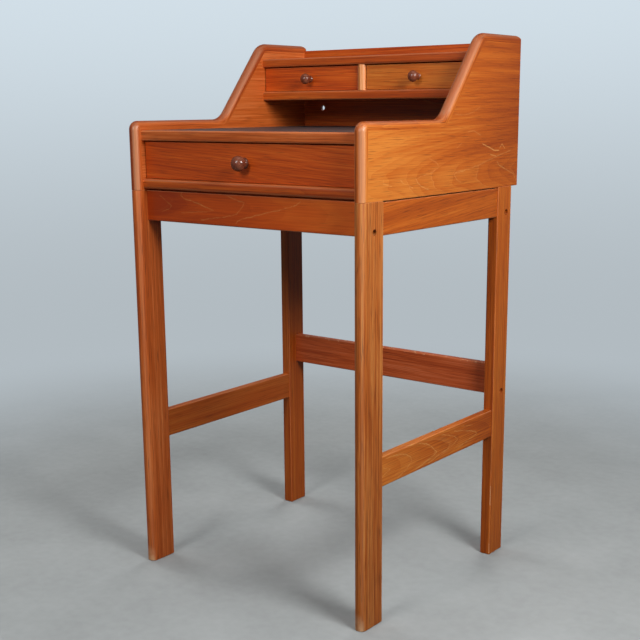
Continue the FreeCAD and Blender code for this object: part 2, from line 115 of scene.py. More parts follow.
def dress(node, material):
    """Puts a material on a piece of the frame, and notes the piece."""
    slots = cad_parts[node].data.materials
    slots.clear()
    slots.append(material)
    dressed.add(node)


print("a middle grey in linear light:", [round(x, 3) for x in linear("#808080")])

# %% [markdown]
# ## The studio
# The desk stands on a pale painted floor that curves up into a wall. A plane with one backdrop would do
# for a single view, but the desk is looked at from every side. So the cove is a surface of revolution:
# a profile of floor, quarter circle and wall is worked out as an array of radii and heights, and carried
# round the upright axis.

# %% Build the round cove
COVE_FLOOR_R = 2.3
COVE_BEND_R = 1.0
COVE_WALL_TOP = 4.2
COVE_MIDDLE_R = 0.5
COVE_STEPS = 128
COVE_BEND_STEPS = 24


def round_cove():
    """Radius and height run along the floor, round a quarter circle and up the wall; each pair is
    turned about Z, so a point is (radius cos a, radius sin a, height). One polygon closes the middle."""
    bend = np.linspace(0, math.pi / 2, COVE_BEND_STEPS)
    wall_r = COVE_FLOOR_R + COVE_BEND_R
    radius = np.concatenate(([COVE_MIDDLE_R], COVE_FLOOR_R + COVE_BEND_R * np.sin(bend), [wall_r]))
    height = np.concatenate(([0.0], COVE_BEND_R * (1 - np.cos(bend)), [COVE_WALL_TOP]))
    angle = np.linspace(0, 2 * math.pi, COVE_STEPS, endpoint=False)
    points = np.stack((
        radius[:, None] * np.cos(angle),
        radius[:, None] * np.sin(angle),
        np.broadcast_to(height[:, None], (len(radius), COVE_STEPS)),
    ), axis=-1)
    index = np.arange(len(radius) * COVE_STEPS).reshape(len(radius), COVE_STEPS)
    after = np.roll(index, -1, axis=1)
    quads = np.stack((index[:-1], index[1:], after[1:], after[:-1]), axis=-1).reshape(-1, 4)
    mesh = bpy.data.meshes.new("studio_cove")
    mesh.from_pydata(points.reshape(-1, 3).tolist(), [], quads.tolist() + [index[0].tolist()])
    mesh.shade_smooth()
    cove = bpy.data.objects.new("studio_cove", mesh)
    bpy.context.scene.collection.objects.link(cove)
    return cove


cove = round_cove()
print("cove faces:", len(cove.data.polygons))

# %% [markdown]
# The floor's paint is matt and pale, with a faint cloudy mottle of two sizes, as a trowel leaves it.
# Further out it turns into a pale blue wall that glows by itself and does not depend on the lamps. It is
# painted paler towards the top, as light from above would leave it. The camera sees the cove, and metal
# and polish reflect it faintly. All other rays pass through it, because a closed pale room would light
# the desk from all round and fill its shadows.

# %% Paint the cove
METRE = 1000.0    # in millimetres, the unit of every pattern
FLOOR_COLOUR = "#A4A8A8"
# The wall's two colours are painted light: the glowing wall turns paler towards the top.
WALL_LOW_COLOUR = "#B2BBC1"
WALL_TOP_PAINTED_LIGHT_COLOUR = "#D3E0E9"
WALL_PAINTED_LIGHT_RISE = (0.0, 1.7)
FLOOR_FADE = (0.8, 2.3)
CLOUD_MM = 210.0
TROWEL_MM = 22.0
TROWEL_SHARE = 0.35
MOTTLE_DEPTH = 0.09
NOISE_SPAN = (0.3, 0.7)    # a noise seldom leaves this span
REFLECTED_SHARE = 0.2

paint, tree = new_material("matt_studio_paint")
place = add(tree, "TexCoord")["Object"]
flat = add(tree, "VectorMath", {0: place, 1: (1, 1, 0)}, operation="MULTIPLY")[0]
away = add(tree, "VectorMath", {0: flat}, operation="LENGTH")[1]
fade = add(tree, "MapRange", {
    0: away, 1: FLOOR_FADE[0], 2: FLOOR_FADE[1],
}, interpolation_type="SMOOTHSTEP")[0]
cloud = add(tree, "TexNoise", {"Vector": place, "Scale": METRE / CLOUD_MM, "Detail": 3.0})[0]
trowel = add(tree, "TexNoise", {"Vector": place, "Scale": METRE / TROWEL_MM, "Detail": 2.0})[0]
mottle = add(tree, "Mix", {0: TROWEL_SHARE, 2: cloud, 3: trowel})[0]
level = add(tree, "MapRange", {
    0: mottle, 1: NOISE_SPAN[0], 2: NOISE_SPAN[1], 3: 1 - MOTTLE_DEPTH, 4: 1 + MOTTLE_DEPTH,
})[0]
ground = add(tree, "VectorMath", {0: linear(FLOOR_COLOUR)[:3], "Scale": level}, operation="SCALE")[0]
floor = add(tree, "BsdfDiffuse", {"Color": ground})[0]
# Painted light: the wall turns paler with height, as light from above would leave it.
rise = add(tree, "SeparateXYZ", {0: place})[2]
rise = add(tree, "MapRange", {
    0: rise, 1: WALL_PAINTED_LIGHT_RISE[0], 2: WALL_PAINTED_LIGHT_RISE[1],
}, interpolation_type="SMOOTHSTEP")[0]
shade = add(tree, "Mix", {
    0: rise, 6: linear(WALL_LOW_COLOUR), 7: linear(WALL_TOP_PAINTED_LIGHT_COLOUR),
}, data_type="RGBA")[2]
wall = add(tree, "Emission", {"Color": shade})[0]
painted = add(tree, "MixShader", {0: fade, 1: floor, 2: wall})[0]
clear = add(tree, "BsdfTransparent")[0]
ray = add(tree, "LightPath")
seen = add(tree, "Math", {0: ray["Is Camera Ray"], 1: ray["Is Transmission Ray"]}, operation="MAXIMUM")[0]
seen = add(tree, "Math", {
    0: ray["Is Glossy Ray"], 1: REFLECTED_SHARE, 2: seen,
}, operation="MULTIPLY_ADD")[0]
shown = add(tree, "MixShader", {0: seen, 1: clear, 2: painted})[0]
add(tree, "OutputMaterial", {0: shown})
cove.data.materials.append(paint)
print("floor and wall:", FLOOR_COLOUR, WALL_LOW_COLOUR, WALL_TOP_PAINTED_LIGHT_COLOUR)

# %% [markdown]
# ## The light
# A key lamp stands close by on the right, a little in front, so the right side of the case is the
# brightest face and the legs throw their shadows to the left. A lamp almost straight ahead, higher than
# the desk, opens the fronts without reaching far under the small drawers. A large one overhead lights
# the tops, and two more serve the back and the left side. Those two give no glints, because a lamp
# behind an edge would draw a white line along it. The world adds an even, pale light. An outdoor sky
# could do it all at once, but lamps let each side be set by itself.

# %% Set the lamps and the world
LAMPS = {
    # place, size in metres, watts
    "key": ((1.7, -0.5, 1.65), 0.75, 36.0),
    "overhead": ((0.2, -0.4, 3.4), 2.0, 8.0),
    "front_fill": ((0.15, -2.6, 2.0), 0.9, 29.0),
    "rear_fill": ((-0.7, 2.6, 2.5), 1.6, 36.0),
    "left_fill": ((-2.6, 0.2, 2.3), 1.6, 32.0),
}
LAMP_TARGET = Vector((0.0, 0.0, 0.65))
WITHOUT_GLINTS = ("rear_fill", "left_fill")
WORLD_COLOUR = "#EEF3F8"
WORLD_STRENGTH = 0.06

for name, (place, size, watts) in LAMPS.items():
    lamp_data = bpy.data.lights.new(name, "AREA")
    lamp_data.shape = "DISK"
    lamp_data.size = size
    lamp_data.energy = watts
    lamp = bpy.data.objects.new(name, lamp_data)
    lamp.location = place
    lamp.rotation_mode = "QUATERNION"
    lamp.rotation_quaternion = (LAMP_TARGET - lamp.location).to_track_quat("-Z", "Y")
    lamp.visible_camera = False
    lamp.visible_glossy = name not in WITHOUT_GLINTS
    bpy.context.scene.collection.objects.link(lamp)

world = bpy.data.worlds.new("studio")
world.use_nodes = True
world.node_tree.nodes.clear()
sky = add(world.node_tree, "Background", {"Color": linear(WORLD_COLOUR), "Strength": WORLD_STRENGTH})
add(world.node_tree, "OutputWorld", {0: sky[0]})
bpy.context.scene.world = world
bpy.context.scene.view_settings.view_transform = "Standard"
print("lamps:", sorted(LAMPS))

# %% [markdown]
# ## Wood
# Every board was sawn from a log, and its figure is a slice through the log's growth rings. A picture
# of wood could be laid on each face, but would break at every edge, where real grain runs on. So each
# board gets coordinates inside a log, in millimetres: along the grain, across the face, and deep into
# the wood, counted from the pith. The distance to the pith counts the rings. Where the pith slants
# under a face, the rings come out on it as arches, and elsewhere as straight lines.

# %% Coordinates inside the log
def board_axes(node, along=None):
    """The middle of a board, and its axes from the longest side to the shortest."""
    low, high = (np.array(corner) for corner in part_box(node))
    order = np.argsort(low - high)
    if along is not None:
        order = np.array([along] + [axis for axis in order if axis != along])
    return (low + high) / 2, order


def board_coordinates(tree, node, along):
    """Object coordinates turned to along, across and deep, in millimetres from the board's middle."""
    middle, order = board_axes(node, along)
    axes = add(tree, "SeparateXYZ", {0: add(tree, "TexCoord")["Object"]})
    turned = add(tree, "CombineXYZ", {i: axes[int(axis)] for i, axis in enumerate(order)})[0]
    shift = tuple((-METRE * middle[order]).tolist())
    return add(tree, "VectorMath", {0: turned, 1: (METRE,) * 3, 2: shift}, operation="MULTIPLY_ADD")[0]


def log_coordinates(tree, board, pith, lean):
    """Coordinates from the pith, which lies so far across and deep and slants by two angles, lean."""
    return add(tree, "Mapping", {
        "Vector": board,
        "Location": (0.0, -pith[0], -pith[1]),
        "Rotation": (0.0, -lean[1], lean[0]),
    })[0]


def grain_noise(tree, place, length, width, seed, detail=2.0):
    """Noise drawn out along the grain: one cell is about length by width millimetres."""
    stretch = (1 / length, 1 / width, 1 / width)
    cells = add(tree, "VectorMath", {0: place, 1: stretch, 2: (seed,) * 3}, operation="MULTIPLY_ADD")[0]
    return add(tree, "TexNoise", {"Vector": cells, "Scale": 1.0, "Detail": detail, "Roughness": 0.55})[0]


print("axes of the right side panel:", board_axes("right_side_panel")[1].tolist())

# %% [markdown]
# A board shows several things at once: broad bands of colour, rings that end in a thin line of soft
# tissue, long fibre streaks, open pores, and patches where the whole tone shifts. One noise with many
# octaves could stand for all of it, but then none could be set by itself, so each is a layer with its
# own size. Pores are about 0.3 mm wide and fibres finer still. Both are drawn coarser here, or they
# would not show.

# %% The layers of a board
# A pair is the length and the width of one cell of a noise.
WANDER_MM = (240.0, 48.0)
WANDER_DEPTH_MM = 15.0
RIPPLE_MM = (70.0, 16.0)
RIPPLE_DEPTH_MM = 2.2
BAND_MM = 16.0
FIBRE_MM = (380.0, 4.2)
FINE_FIBRE_MM = (170.0, 2.0)
PORE_MM = (46.0, 1.6)
PATCH_MM = (420.0, 130.0)
RING_SPREAD = 2.5
LAYER_SEEDS = {"fibre": 3.1, "fine": 5.7, "pore": 7.3, "patch": 9.9}


def wood_layers(tree, board, ring=6.0, pith=(90.0, 70.0), lean=(0.0, 0.03), seed=0.0):
    """The patterns of one board; ring is the mean width of a growth ring in millimetres.

    The radius is the distance to the pith plus two noises, one long and one short. Radius over ring
    width counts the years: the whole number is the year, the fraction the place in its ring.
    """
    log = log_coordinates(tree, board, pith, lean)
    flat = add(tree, "VectorMath", {0: log, 1: (0, 1, 1)}, operation="MULTIPLY")[0]
    radius = add(tree, "VectorMath", {0: flat}, operation="LENGTH")[1]
    for cell, depth in ((WANDER_MM, WANDER_DEPTH_MM), (RIPPLE_MM, RIPPLE_DEPTH_MM)):
        bend = grain_noise(tree, log, *cell, seed)
        radius = add(tree, "Math", {0: bend, 1: depth, 2: radius}, operation="MULTIPLY_ADD")[0]
    band_at = add(tree, "Math", {0: radius, 1: 1 / BAND_MM, 2: seed}, operation="MULTIPLY_ADD")[0]
    band = add(tree, "TexNoise", {"W": band_at, "Scale": 1.0, "Detail": 3.0}, noise_dimensions="1D")[0]
    spread = add(tree, "Math", {0: band, 1: RING_SPREAD}, operation="MULTIPLY")[0]
    count = add(tree, "Math", {0: radius, 1: 1 / ring, 2: spread}, operation="MULTIPLY_ADD")[0]
    year = add(tree, "Math", {0: count, 1: seed}, operation="ADD")[0]
    year = add(tree, "Math", {0: year}, operation="FLOOR")[0]
    year = add(tree, "TexWhiteNoise", {"W": year}, noise_dimensions="1D")[0]
    straight = add(tree, "SeparateXYZ", {0: board})
    beside = add(tree, "SeparateXYZ", {0: log})[1]
    return {
        "along": straight[0],
        "across": straight[1],
        "beside": add(tree, "Math", {0: beside}, operation="ABSOLUTE")[0],
        "ring": add(tree, "Math", {0: count}, operation="FRACT")[0],
        "year": add(tree, "Math", {0: year, 1: 2.0}, operation="POWER")[0],
        "band": band,
        "fibre": grain_noise(tree, board, *FIBRE_MM, seed + LAYER_SEEDS["fibre"], 3.0),
        "fine": grain_noise(tree, board, *FINE_FIBRE_MM, seed + LAYER_SEEDS["fine"]),
        "pore": grain_noise(tree, board, *PORE_MM, seed + LAYER_SEEDS["pore"], 1.0),
        "patch": grain_noise(tree, board, *PATCH_MM, seed + LAYER_SEEDS["patch"]),
    }


print("a fibre is drawn", FIBRE_MM[1], "mm wide and a pore", PORE_MM[1], "mm")

# %% [markdown]
# Decades of hands, cloths and floors wear wood first at its edges. Blender's pointiness could find them,
# but it works from vertex to vertex, and a flat board has few. A rounded edge is where the surface looks
# along no axis of the desk, so the largest part of the normal says how close a point is to one. In the
# same way, the part of the normal along the grain finds end grain, where no ring line shows.

# %% Find edges and end grain
EDGE_SPAN = (0.97, 0.75)
END_SPAN = (0.3, 0.8)
NOSE_SPAN = (0.9, 0.5)


def masks_by_normal(tree, along, thin):
    """Rounded edges, faces cut across the grain, and all that is not a flat face of the board."""
    normal = add(tree, "TexCoord")["Normal"]
    turned = add(tree, "SeparateXYZ", {0: add(tree, "VectorMath", {0: normal}, operation="ABSOLUTE")[0]})
    most = add(tree, "Math", {0: turned[0], 1: turned[1]}, operation="MAXIMUM")[0]
    most = add(tree, "Math", {0: most, 1: turned[2]}, operation="MAXIMUM")[0]
    edge = add(tree, "MapRange", {0: most, 1: EDGE_SPAN[0], 2: EDGE_SPAN[1]})[0]
    end = add(tree, "MapRange", {0: turned[along], 1: END_SPAN[0], 2: END_SPAN[1]})[0]
    nose = add(tree, "MapRange", {0: turned[thin], 1: NOSE_SPAN[0], 2: NOSE_SPAN[1]})[0]
    return {"edge": edge, "end": end, "nose": nose}


print("an edge begins", round(math.degrees(math.acos(EDGE_SPAN[0]))), "degrees off a flat face")

# %% [markdown]
# Some marks are this desk's own, such as single growth lines and scratches. They could be cut into the
# mesh, but they change the colour and not the shape, so the material draws them. A line is a row of
# straight strokes between points, and its mask is the distance to the nearest one. A scratch stays
# straight, while a growth line sways from its course and fades in and out.

# %% Draw lines on wood
STROKE_MM = 1.5
SWAY_MM = (14.0, 2.5)    # size of a bend, and how far it reaches
FADE_SPAN = (0.35, 0.6)
FADED = 0.3
NOISE_MEAN = 0.5


def strokes(tree, place, lines):
    """The strongest of all lines at a point.

    The share of a stroke that lies behind a point is the way from its start, dotted with the stroke
    over its squared length and kept from 0 to 1. The gap is the distance to the stroke there, and the
    line fades from its middle to STROKE_MM beside it.
    """
    strongest = 0.0
    for strength, *points in lines:
        for start, end in zip(points, points[1:]):
            run = end - start
            away = add(tree, "VectorMath", {0: place, 1: start}, operation="SUBTRACT")[0]
            per_run = run / run.length_squared
            share = add(tree, "VectorMath", {0: away, 1: per_run}, operation="DOT_PRODUCT")[1]
            share = add(tree, "Math", {0: share, 1: 0.0}, operation="ADD", use_clamp=True)[0]
            nearest = add(tree, "VectorMath", {0: run, "Scale": share}, operation="SCALE")[0]
            gap = add(tree, "VectorMath", {0: away, 1: nearest}, operation="DISTANCE")[1]
            line = add(tree, "MapRange", {0: gap, 1: STROKE_MM / METRE, 2: 0.0, 4: strength})[0]
            strongest = add(tree, "Math", {0: strongest, 1: line}, operation="MAXIMUM")[0]
    return strongest


def grown(tree, place, lines):
    """Strokes that sway from their course and fade in and out, as the edge of a growth ring does."""
    sway = add(tree, "TexNoise", {"Vector": place, "Scale": METRE / SWAY_MM[0], "Detail": 3.0})
    bend = add(tree, "VectorMath", {0: sway["Color"], 1: (NOISE_MEAN,) * 3}, operation="SUBTRACT")[0]
    bend = add(tree, "VectorMath", {0: bend, "Scale": 2 * SWAY_MM[1] / METRE}, operation="SCALE")[0]
    bent = add(tree, "VectorMath", {0: place, 1: bend}, operation="ADD")[0]
    fade = add(tree, "MapRange", {0: sway[0], 1: FADE_SPAN[0], 2: FADE_SPAN[1], 3: FADED})[0]
    return add(tree, "Math", {0: strokes(tree, bent, lines), 1: fade}, operation="MULTIPLY")[0]


print("a drawn line is", 2 * STROKE_MM, "mm wide and bends by up to", SWAY_MM[1], "mm")

# %% [markdown]
# Three boards have growth lines clear enough to know them by: the right panel, the right stretcher and
# the front apron. The panel has scratches too. Rings that are worked out give arches like these, but
# never in the same places, so each line is given by its strength and the points that it passes.

# %% Growth lines and scratches
PANEL_SCRATCHES = (
    # strength, then points as (from the front, above the floor) in millimetres, also in the next two
    (0.85, (412, 911), (440, 903), (458, 897), (479, 896)),
    (0.55, (483, 901), (491, 909), (504, 899)),
    (0.60, (444, 889), (467, 885)),
    (0.50, (472, 874), (479, 867)),
    (0.60, (483, 865), (504, 858)),
    (0.30, (504, 858), (545, 844), (556, 829)),
    (0.30, (353, 936), (376, 938), (402, 929)),
    (0.20, (331, 915), (312, 906)),
)
PANEL_LINES = (
    (0.80, (169, 854), (175, 848), (186, 840), (200, 835), (212, 832)),
    (0.70, (118, 855), (125, 848), (142, 844), (158, 838)),
    (0.60, (63, 858), (62, 851), (78, 847), (89, 844)),
    (0.50, (345, 862), (323, 861), (308, 858), (306, 853), (314, 845), (329, 839)),
    (0.45, (301, 856), (335, 860), (370, 865), (402, 870), (448, 880), (495, 889), (529, 894)),
    (0.40, (213, 889), (234, 883), (248, 875), (244, 870), (226, 864), (194, 859), (175, 855)),
    (0.30, (306, 970), (340, 969), (366, 973), (397, 983)),
)
STRETCHER_LINES = (
    (0.80, (58, 290), (72, 298), (86, 303), (93, 305), (86, 309), (72, 313)),
    (1.00, (80, 330), (105, 329), (128, 327), (148, 321), (166, 311), (169, 302), (146, 288), (117, 280)),
    (1.00, (162, 336), (192, 333), (223, 324), (235, 318), (261, 298), (236, 290), (208, 285), (181, 281)),
    (0.90, (279, 329), (304, 323), (331, 314), (341, 305), (318, 296), (286, 292), (264, 288), (230, 282)),
    (0.80, (327, 326), (357, 320), (412, 306), (420, 299), (402, 296), (375, 291), (345, 286)),
    (0.60, (357, 329), (401, 322)),
)
APRON_LINES = (
    # strength, then points as (right of the middle, above the floor) in millimetres
    (0.30, (-238, 810), (-217, 798), (-205, 790), (-213, 783), (-234, 778)),
    (0.60, (-174, 819), (-177, 813), (-170, 807), (-131, 799), (-87, 787)),
    (0.25, (-87, 787), (-108, 783), (-177, 778)),
    (0.45, (-51, 817), (-20, 809), (-5, 806), (-8, 799), (-24, 783), (-58, 775), (-123, 766)),
    (0.60, (136, 814), (126, 807), (94, 798), (67, 792), (24, 782), (-10, 774), (-23, 769), (-27, 764)),
)


def on_right(node, rows):
    """Lines on the outer face of a board on the right side, in metres."""
    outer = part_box(node)[1][0]
    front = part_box("right_side_lipping")[0][1]
    return [
        (strength, *(Vector((outer, front + y / METRE, z / METRE)) for y, z in points))
        for strength, *points in rows
    ]


def panel_lines(tree, place):
    """Growth lines on the right panel, and the straight scratches across them."""
    scratches = strokes(tree, place, on_right("right_side_panel", PANEL_SCRATCHES))
    rings = grown(tree, place, on_right("right_side_panel", PANEL_LINES))
    return add(tree, "Math", {0: scratches, 1: rings}, operation="MAXIMUM")[0]


def stretcher_lines(tree, place):
    """Growth lines on the outer face of the right stretcher."""
    return grown(tree, place, on_right("right_side_stretcher", STRETCHER_LINES))


def apron_lines(tree, place):
    """Growth lines on the front face of the front apron."""
    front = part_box("front_apron")[0][1]
    return grown(tree, place, [
        (strength, *(Vector((x / METRE, front, z / METRE)) for x, z in points))
        for strength, *points in APRON_LINES
    ])


print("growth lines:", len(PANEL_LINES + STRETCHER_LINES + APRON_LINES))
print("scratches:", len(PANEL_SCRATCHES))

# %% [markdown]
# Other marks have no clear outline: noses that hands have polished, with a painted highlight on the
# side that faces the key lamp, bare wood on the front feet, chips along the rear stretcher, and a
# rubbed corner on the right rear leg. An image could be painted for each, but noise that is kept to a
# height, or to the way a face looks, is as ragged and fits any size. Each mark takes a node tree and a
# place, so that a board can name any of them as its wear, the painted highlight included.

# %% Polished noses with a painted highlight, worn feet, chips and a rubbed corner
# The pale nose strip below is partly polish and partly a painted highlight on the side towards the key
# lamp.
POLISH_AND_HIGHLIGHT = 0.34
POLISHED_AND_HIGHLIGHT_SIDE = (0.7, -0.714, 0.0)
POLISH_AND_HIGHLIGHT_SPAN = (0.75, 0.95)
WORN_FOOT_MM = 38.0
WORN_PATCH_MM = 14.0
WORN_DEPTH = 0.85
WORN_SPAN = (0.3, 0.55)
WORN_LEAST = 0.35
FORWARD_SPAN = (-0.3, -0.7)
CHIP_MM = (9.0, 4.0)    # size of a chip, and how far down chips reach
CHIP_SPAN = (0.6, 0.68)
CHIP_DEPTH = 0.9
RUB_INSET_MM = 0.8
RUBBED_MM = ((0.8, 118, 162), (0.6, 4, 26))    # strength, from and to above the floor


def polished_nose_and_highlight(tree, place):
    """Paler wood on the strip of a nose that looks forward and to the right: partly polish where the hand
    rests, partly a painted highlight on the side that faces the key lamp.

    Only the normal counts, so the place is not used.
    """
    normal = add(tree, "TexCoord")["Normal"]
    facing = add(tree, "VectorMath", {0: normal, 1: POLISHED_AND_HIGHLIGHT_SIDE}, operation="DOT_PRODUCT")[1]
    return add(tree, "MapRange", {0: facing, 1: POLISH_AND_HIGHLIGHT_SPAN[0], 2: POLISH_AND_HIGHLIGHT_SPAN[1], 4: POLISH_AND_HIGHLIGHT})[0]


def worn_foot(tree, place):
    """Bare wood on a foot: strongest at the floor, ragged, and only where the face looks forward."""
    height = add(tree, "SeparateXYZ", {0: place})[2]
    low = add(tree, "MapRange", {0: height, 1: WORN_FOOT_MM / METRE, 2: 0.0, 4: WORN_DEPTH})[0]
    ragged = add(tree, "TexNoise", {"Vector": place, "Scale": METRE / WORN_PATCH_MM, "Detail": 3.0})[0]
    ragged = add(tree, "MapRange", {0: ragged, 1: WORN_SPAN[0], 2: WORN_SPAN[1], 3: WORN_LEAST})[0]
    front = add(tree, "SeparateXYZ", {0: add(tree, "TexCoord")["Normal"]})[1]
    front = add(tree, "MapRange", {0: front, 1: FORWARD_SPAN[0], 2: FORWARD_SPAN[1]})[0]
    worn = add(tree, "Math", {0: low, 1: ragged}, operation="MULTIPLY")[0]
    return add(tree, "Math", {0: worn, 1: front}, operation="MULTIPLY")[0]


def chipped_top(tree, place):
    """Small chips along the top of the rear stretcher, where a noise is high."""
    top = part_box("rear_stretcher")[1][2]
    height = add(tree, "SeparateXYZ", {0: place})[2]
    near = add(tree, "MapRange", {0: height, 1: top - CHIP_MM[1] / METRE, 2: top})[0]
    chip = add(tree, "TexNoise", {"Vector": place, "Scale": METRE / CHIP_MM[0], "Detail": 2.0})[0]
    chip = add(tree, "MapRange", {0: chip, 1: CHIP_SPAN[0], 2: CHIP_SPAN[1], 4: CHIP_DEPTH})[0]
    return add(tree, "Math", {0: near, 1: chip}, operation="MULTIPLY")[0]


def rubbed_corner(tree, place):
    """Two short rubbed lines on the outer front corner of the right rear leg, one just at the foot."""
    low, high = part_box("rear_right_leg")
    inset = RUB_INSET_MM / METRE
    corner = Vector((high[0] - inset, low[1] + inset, 0))
    return strokes(tree, place, [
        (strength, *(corner + Vector((0, 0, end / METRE)) for end in ends))
        for strength, *ends in RUBBED_MM
    ])


print("feet are worn up to", WORN_FOOT_MM, "mm")

# %% [markdown]
# Four woods make the desk, and one recipe serves them all, because they differ in colours, in pores
# and in finish, not in how they grow. A material for each could be built by itself, but the same nodes
# would be there four times. The heart colour of a board turns darker and redder in its deep streaks,
# paler and yellower in its light ones: deep and pale say by how much, for red, green and blue.

# %% Four woods
WOODS = {
    # Teak rubbed with oil: a satin skin, open dark pores, thin pale lines between the rings.
    "oiled_teak": dict(
        deep=(0.60, 0.45, 0.32), pale=(1.30, 1.95, 3.8), line="#E2A35C", pore="#3E150A", pores=0.42,
        bare="#E3B387", rough=0.4, relief=0.1, ior=1.47),
    # Beech left bare: pale, even and dry, with short brown flecks.
    "bare_beech": dict(
        deep=(0.84, 0.78, 0.70), pale=(1.10, 1.14, 1.18), line="#C99E6C", pore="#9C6A3E", pores=0.4,
        bare="#E9D3B4", rough=0.55, relief=0.12, ior=1.5),
    # Birch plywood, peeled from the log: nearly white, with a wide and wild figure.
    "birch_plywood": dict(
        deep=(0.86, 0.80, 0.72), pale=(1.08, 1.10, 1.12), line="#C7A273", pore="#B48E62", pores=0.25,
        bare="#EAD9BC", rough=0.5, relief=0.1, ior=1.5),
    # Dark hardwood, turned and lacquered: nearly black streaks under a wet gloss.
    "lacquered_rosewood": dict(
        deep=(0.45, 0.40, 0.40), pale=(1.5, 1.5, 1.5), line="#7A3A22", pore="#1D0905", pores=0.5,
        bare="#9A6246", rough=0.22, relief=0.05, ior=1.5),
}
print("woods:", sorted(WOODS))

# %% [markdown]
# The tone at a point of a board is one value from dark to pale. It starts from the board's own level, and
# each layer moves it by its distance from its mean, so that no layer shifts the whole board. Mixing one
# colour after another would do too, but each would dull those before it. What has a colour of its own
# comes over the tone, first of all the pale ring lines. They are strongest where rings turn into arches,
# and end grain has none.

# %% Shade and ring lines
LAYER_WEIGHTS = {"band": 0.6, "patch": 0.7, "late": -0.5, "fibre": 0.9, "fine": 2.0}
LATE_POWER = 3.0
LATE_MEAN = 1 / (LATE_POWER + 1)
APEX_MM = (14.0, 55.0)
APEX_LEAST = 0.1
PATCH_LEAST = 0.25


def shading(tree, layers, streak, figure, level, drift, size, nose):
    """One value from dark to pale: the level plus every layer's distance from its mean, weighted.

    Late wood is the place in the ring to the power of LATE_POWER, whose mean over a ring is one over
    the power plus one. Along and across count from the middle of the board, so their mean is zero.
    """
    late = add(tree, "Math", {0: layers["ring"], 1: LATE_POWER}, operation="POWER")[0]
    weights = (
        (layers["along"], 0.0, drift[0] / size[0]),
        (layers["across"], 0.0, drift[1] / size[1]),
        (layers["band"], NOISE_MEAN, LAYER_WEIGHTS["band"]),
        (layers["patch"], NOISE_MEAN, LAYER_WEIGHTS["patch"]),
        (late, LATE_MEAN, LAYER_WEIGHTS["late"] * figure),
        (layers["fibre"], NOISE_MEAN, LAYER_WEIGHTS["fibre"] * streak),
        (layers["fine"], NOISE_MEAN, LAYER_WEIGHTS["fine"] * streak),
        (layers["nose"], 0.0, -nose),
    )
    shade = level
    for pattern, mean, weight in weights:
        shade = add(tree, "Math", {0: pattern, 1: weight, 2: shade}, operation="MULTIPLY_ADD")[0]
        shade = add(tree, "Math", {0: shade, 1: mean * weight}, operation="SUBTRACT")[0]
    return shade


def ring_lines(tree, layers, figure, share):
    """Pale lines over a share of each ring, strongest where they turn into arches, none on end grain."""
    line = add(tree, "MapRange", {0: layers["ring"], 2: share, 3: figure, 4: 0.0})[0]
    apex = add(tree, "MapRange", {
        0: layers["beside"], 1: APEX_MM[0], 2: APEX_MM[1], 3: 1.0, 4: APEX_LEAST,
    })[0]
    patch = add(tree, "MapRange", {
        0: layers["patch"], 1: FADE_SPAN[0], 2: FADE_SPAN[1], 3: PATCH_LEAST,
    })[0]
    face = add(tree, "Math", {0: 1.0, 1: layers["end"]}, operation="SUBTRACT")[0]
    for mask in (apex, patch, layers["year"], face):
        line = add(tree, "Math", {0: line, 1: mask}, operation="MULTIPLY")[0]
    return line


print("weights of the layers:", LAYER_WEIGHTS)

# %% [markdown]
# A finished board is the tone turned into colour, with ring lines, pores and bare wood over it in that
# order, as they lie on the real one. On the lipping noses the bare colour is also a painted highlight.
# Oil and lacquer could be a clear coat of their own. But oil soaks in, and the lacquer of the knobs is
# thin, so the roughness of one shader stands for both. A slight relief lets the fibres and pores catch
# the light.

# %% Finish a board
PORE_SPAN = (0.58, 0.74)
ROUGH_SPREAD = 0.06
RELIEF_MM = 0.4


